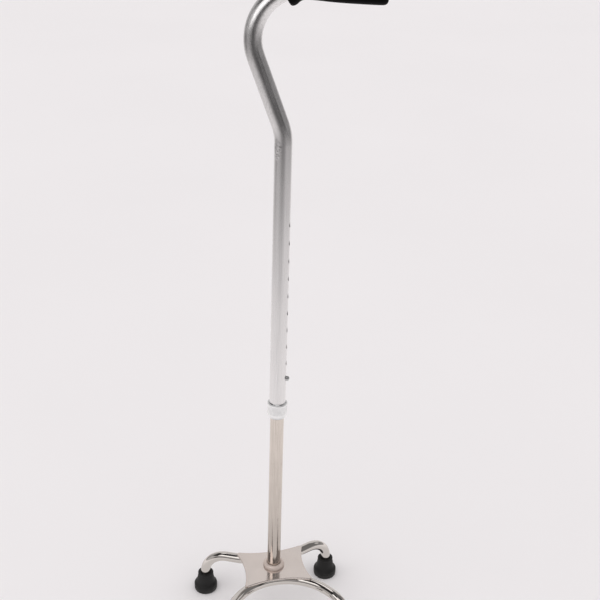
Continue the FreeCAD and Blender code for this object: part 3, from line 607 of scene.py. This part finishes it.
# the paper goes on up behind the object, in whichever direction the object is looked at
verts, faces = [], []
for i in range(25):
    el = math.radians(-1 + 91 * i / 24)
    for k in range(72):
        az = 2 * math.pi * k / 72
        verts.append((8.8 * math.cos(el) * math.cos(az), 8.8 * math.cos(el) * math.sin(az), 8.8 * math.sin(el)))
for i in range(24):
    for k in range(72):
        j = (k + 1) % 72
        faces.append((i * 72 + k, i * 72 + j, (i + 1) * 72 + j, (i + 1) * 72 + k))
me = bpy.data.meshes.new("backdrop")
me.from_pydata(verts, [], faces)
me.polygons.foreach_set("use_smooth", [True] * len(me.polygons))
backdrop_mat = bpy.data.materials.new("backdrop_paper")
backdrop_mat.use_nodes = True
bt = backdrop_mat.node_tree
bt.nodes.remove(bt.nodes["Principled BSDF"])
be = bt.nodes.new("ShaderNodeEmission")
be.inputs["Color"].default_value = (0.840, 0.811, 0.820, 1)
be.inputs["Strength"].default_value = 1.0
bt.links.new(be.outputs["Emission"], bt.nodes["Material Output"].inputs["Surface"])
me.materials.append(backdrop_mat)
backdrop = bpy.data.objects.new("backdrop", me)
scene.collection.objects.link(backdrop)
for ray in ("diffuse", "glossy", "transmission", "shadow", "volume_scatter"):
    setattr(backdrop, "visible_" + ray, False)

world = bpy.data.worlds.new("studio")
scene.world = world
world.use_nodes = True
world.node_tree.nodes["Background"].inputs["Color"].default_value = (1.0, 0.985, 0.985, 1)
world.node_tree.nodes["Background"].inputs["Strength"].default_value = 0.728

for label, strength, at, spread, tone in (
        ("key_left", 0.66, (-1.1, -0.9, 1.5), 58, (1.0, 0.985, 0.985)),
        ("fill_right", 0.42, (1.3, -0.5, 1.3), 62, (1.0, 0.985, 0.98))):
    ld = bpy.data.lights.new(label, "SUN")
    ld.energy = strength
    ld.angle = math.radians(spread)
    ld.color = tone
    lo = bpy.data.objects.new(label, ld)
    scene.collection.objects.link(lo)
    lo.location = at
    lo.rotation_euler = Vector(at).to_track_quat("Z", "Y").to_euler()
    lo.visible_glossy = False


def only_in_reflections(ob):
    ob.visible_camera = False
    ob.visible_diffuse = False
    ob.visible_shadow = False
    ob.visible_transmission = False
    ob.visible_volume_scatter = False
    return ob


def glow(name, colour, strength=1.0):
    mt = bpy.data.materials.new(name)
    mt.use_nodes = True
    nt = mt.node_tree
    nt.nodes.remove(nt.nodes["Principled BSDF"])
    em = nt.nodes.new("ShaderNodeEmission")
    em.inputs["Color"].default_value = (*colour, 1)
    em.inputs["Strength"].default_value = strength
    nt.links.new(em.outputs["Emission"], nt.nodes["Material Output"].inputs["Surface"])
    return mt, nt, em


def vertex_glow(name, verts, faces, colours):
    """A card whose brightness is stored on its vertices, so it fades smoothly from one part to the next."""
    me = bpy.data.meshes.new(name)
    me.from_pydata(verts, [], faces)
    att = me.color_attributes.new("tone", "FLOAT_COLOR", "POINT")
    for k, c in enumerate(colours):
        att.data[k].color = (*c, 1.0)
    mt, nt, em = glow(name, (1, 1, 1))
    an = nt.nodes.new("ShaderNodeAttribute")
    an.attribute_name = "tone"
    nt.links.new(an.outputs["Color"], em.inputs["Color"])
    me.materials.append(mt)
    ob = bpy.data.objects.new(name, me)
    scene.collection.objects.link(ob)
    return only_in_reflections(ob)


def ease(t):
    t = max(0.0, min(1.0, t))
    return t * t * (3 - 2 * t)


def between(v, a, b):
    return ease((v - a) / (b - a))


# what the metal sees below the horizon: the paper sweep, bright near the cane, falling off into the room
WARM = (1.0, 0.975, 0.965)


def table(v, rows):
    """Straight-line interpolation in a short list of (position, value)."""
    if v <= rows[0][0]:
        return rows[0][1]
    for (a, va), (b, vb) in zip(rows[:-1], rows[1:]):
        if v <= b:
            return va + (vb - va) * (v - a) / (b - a)
    return rows[-1][1]


def paper(x, y):
    """Brightness of the sweep as the metal sees it; the camera is on the -Y side."""
    az = math.degrees(math.atan2(x, -y))            # 0 towards the camera, + to the right
    dist = math.hypot(x, y)
    front = table(dist, [(0.5, 0.93), (0.65, 0.90), (0.9, 0.80), (1.35, 0.56), (1.6, 0.35), (1.93, 0.20), (2.25, 0.10),
                         (2.7, 0.075), (5.0, 0.06)])
    if az > 0:
        side = table(dist, [(0.5, 0.93), (0.9, 0.88), (1.35, 0.76), (1.62, 0.64), (1.93, 0.48), (2.6, 0.36), (5.0, 0.20)])
    else:
        side = table(dist, [(0.5, 0.93), (0.9, 0.86), (1.15, 0.74), (1.35, 0.63), (1.62, 0.52), (1.93, 0.46),
                            (2.6, 0.33), (5.0, 0.25)])
    back = table(dist, [(0.5, 0.93), (1.0, 0.90), (1.6, 0.84), (3.0, 0.80)])
    w_front = math.exp(-(abs(az) / 32.0) ** 3)
    w_back = between(abs(az), 112, 145)
    val = front * w_front + side * (1 - w_front)
    val = val * (1 - w_back) + back * w_back
    if az < 0:                                       # a stand leg and the table's edge on the left
        val *= 1 - 0.5 * math.exp(-((az + 93) / 8.0) ** 2) * between(dist, 1.2, 2.1)
    return val * (0.74 + 0.26 * between(dist, 0.14, 0.42))    # the shade under and around the base


verts, faces, tones = [], [], []
rings = [0.0, 0.1, 0.2, 0.3, 0.45, 0.6, 0.75, 0.9, 1.05, 1.2, 1.35, 1.5, 1.65, 1.8, 1.95, 2.1, 2.3, 2.6, 3.0, 3.6, 4.5,
         6.0, 8.5]
N = 144
for r in rings:
    for k in range(N):
        a = 2 * math.pi * k / N
        x, y = r * math.cos(a), r * math.sin(a)
        verts.append((x, y, -0.0006))
        tones.append(tuple(paper(x, y) * c for c in WARM))
for i in range(len(rings) - 1):
    for k in range(N):
        j = (k + 1) % N
        faces.append((i * N + k, i * N + j, (i + 1) * N + j, (i + 1) * N + k))
vertex_glow("sweep_in_metal", verts, faces, tones)


# what the metal sees above the horizon: a dim room, the paper behind, and two softboxes
def spot(v, centre, half, soft):
    return between(half - abs(v - centre), -soft, soft)


def room(az, el):
    """az in degrees, 0 towards the camera and + to the right; el in degrees above the horizon."""
    dim = 0.035
    behind = 0.72 * between(abs(az), 128, 150) * (1 - between(el, 46, 56))
    left_back = 0.48 * between(-az, 98, 118) * (1 - between(el, 34, 50))
    left = 0.50 * between(-az, 46, 60) * (1 - between(-az, 96, 108)) * (1 - between(el, 24, 34))
    right = (0.20 + 0.12 * (1 - between(el, 8, 18))) * between(az, 52, 70) * (1 - between(el, 54, 70))
    over_right = 0.18 * between(az, 85, 100) * (1 - between(el, 66, 78))
    box_back = 1.25 * spot(az, -145, 23, 4) * spot(el, 61, 7, 3)
    box_right = 0.75 * spot(az, 114, 12, 4) * spot(el, 30, 9, 4)
    front = 0.50 * spot(az, 0, 52, 8) * spot(el, 20, 9, 4)
    box_front = 1.1 * spot(az, 0, 34, 5) * spot(el, 60, 8, 3)
    top = 0.16 * between(el, 68, 85) * (1 if az > 0 else 0.5)
    return max(dim, behind, left_back, left, right, over_right, box_back, box_right, front, box_front, dim + top)


verts, faces, tones = [], [], []
M, N, R = 60, 180, 8.0
for i in range(M + 1):
    el = 90.0 * i / M
    for k in range(N):
        az = -180 + 360.0 * k / N
        ce, se = math.cos(math.radians(el)), math.sin(math.radians(el))
        verts.append((R * ce * math.sin(math.radians(az)), -R * ce * math.cos(math.radians(az)), R * se))
        tones.append(tuple(room(az, el) * c for c in (1.0, 0.985, 0.975)))
for i in range(M):
    for k in range(N):
        j = (k + 1) % N
        faces.append((i * N + k, i * N + j, (i + 1) * N + j, (i + 1) * N + k))
vertex_glow("room_in_metal", verts, faces, tones)



def softbox(name, az, half, dist, z0, z1, power):
    """A tall light card standing on a circle round the object; its edge fades over a few centimetres."""
    verts, faces, tones = [], [], []
    nu, nv = 24, 24
    for i in range(nv + 1):
        for k in range(nu + 1):
            u, v = k / nu, i / nv
            a = math.radians(az - half + 2 * half * u)
            verts.append((dist * math.sin(a), -dist * math.cos(a), z0 + (z1 - z0) * v))
            edge = between(min(u, 1 - u), 0, 0.12) * between(min(v, 1 - v), 0, 0.10)
            t = 0.05 + (power - 0.05) * edge
            tones.append((t, t * 0.99, t * 0.98))
    for i in range(nv):
        for k in range(nu):
            n = i * (nu + 1) + k
            faces.append((n, n + 1, n + nu + 2, n + nu + 1))
    return vertex_glow(name, verts, faces, tones)


softbox("softbox_left_in_metal", -41, 26, 1.2, 0.79, 1.72, 1.5)
softbox("softbox_right_in_metal", 36, 11, 1.3, 1.22, 1.75, 0.9)
